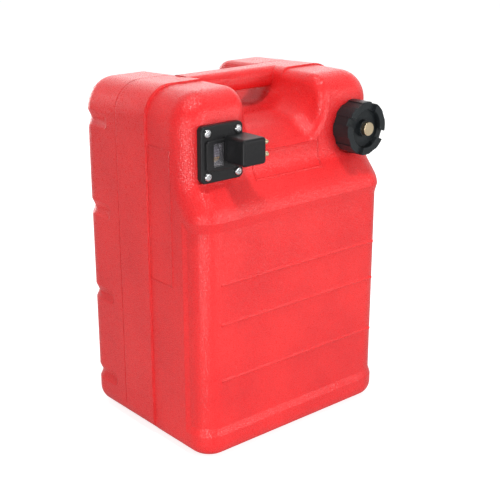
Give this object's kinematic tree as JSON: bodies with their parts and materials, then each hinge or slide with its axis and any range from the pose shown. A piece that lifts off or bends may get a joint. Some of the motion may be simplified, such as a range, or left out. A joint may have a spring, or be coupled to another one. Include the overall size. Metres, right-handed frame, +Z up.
{
  "type": "outboard fuel tank",
  "caption": "Upright portable outboard fuel tank: ribbed red shell with a carry grip across the top, a gauge and fuel outlet head, and a vented screw cap.",
  "frame": {"origin": "on the ground under the middle of the bounding box", "axes": "+Z up, -Y towards the side with the gauge head and the filler cap, +X from the gauge towards the cap"},
  "size_m": [0.306, 0.2546, 0.442],
  "materials": {
    "red_polyethylene": "fine leather grain, semi-matt",
    "black_nylon": "smooth satin",
    "black_cap": "satin",
    "black_rubber": "matt",
    "clear_window": "polished",
    "steel": "bright",
    "brass": "turned",
    "white_plastic": "matt",
    "float_foam": "closed-cell foam, matt"
  },
  "bodies": {
    "tank": {"tank_shell": "red_polyethylene", "insert_nuts": "brass", "gauge_gasket": "black_rubber", "gauge_housing": "black_nylon", "gauge_lens": "clear_window", "lens_seal": "black_rubber", "gauge_screws": "steel", "fuel_prong": "brass", "locating_pin": "brass", "prong_o_rings": "black_rubber", "check_spring": "steel", "pickup_tube": "black_nylon", "pickup_strainer": "white_plastic", "pivot_pin": "steel"},
    "float_arm": {"indicator_drum": "white_plastic", "float_wire": "steel", "float": "float_foam", "float_keeper": "steel"},
    "cap_carrier": {"cap_seal": "black_rubber"},
    "cap": {"filler_cap": "black_cap", "vent_spring": "steel"},
    "vent": {"vent_stem": "brass", "vent_seal": "black_rubber", "vent_retainer": "steel"},
    "ball": {"check_ball": "steel"}
  },
  "joints": [
    {"name": "float_swing", "type": "hinge", "parent": "tank", "child": "float_arm", "pos_m": [-0.11215, -0.07975, 0.3719], "axis": [1, 0, 0], "range_deg": [0, 75]},
    {"name": "cap_travel", "type": "slide", "parent": "tank", "child": "cap_carrier", "axis": [0, -1, 0], "range_m": [0, 0.016]},
    {"name": "cap_turn", "type": "hinge", "parent": "cap_carrier", "child": "cap", "pos_m": [0.112, -0.09, 0.373], "axis": [0, -1, 0], "range_deg": [0, 1441]},
    {"name": "vent_push", "type": "slide", "parent": "cap", "child": "vent", "axis": [0, 1, 0], "range_m": [0, 0.003], "stiffness_N_per_m": 500, "springref_m": -0.003, "deforming": ["vent_spring"]},
    {"name": "ball_push", "type": "slide", "parent": "tank", "child": "ball", "axis": [-1, 0, 0], "range_m": [0, 0.0015], "stiffness_N_per_m": 60, "springref_m": -0.001, "deforming": ["check_spring"]}
  ],
  "couplings": [
    {"joint": "cap_turn", "follows": "cap_travel", "rad_per_m": 1570.8}
  ]
}
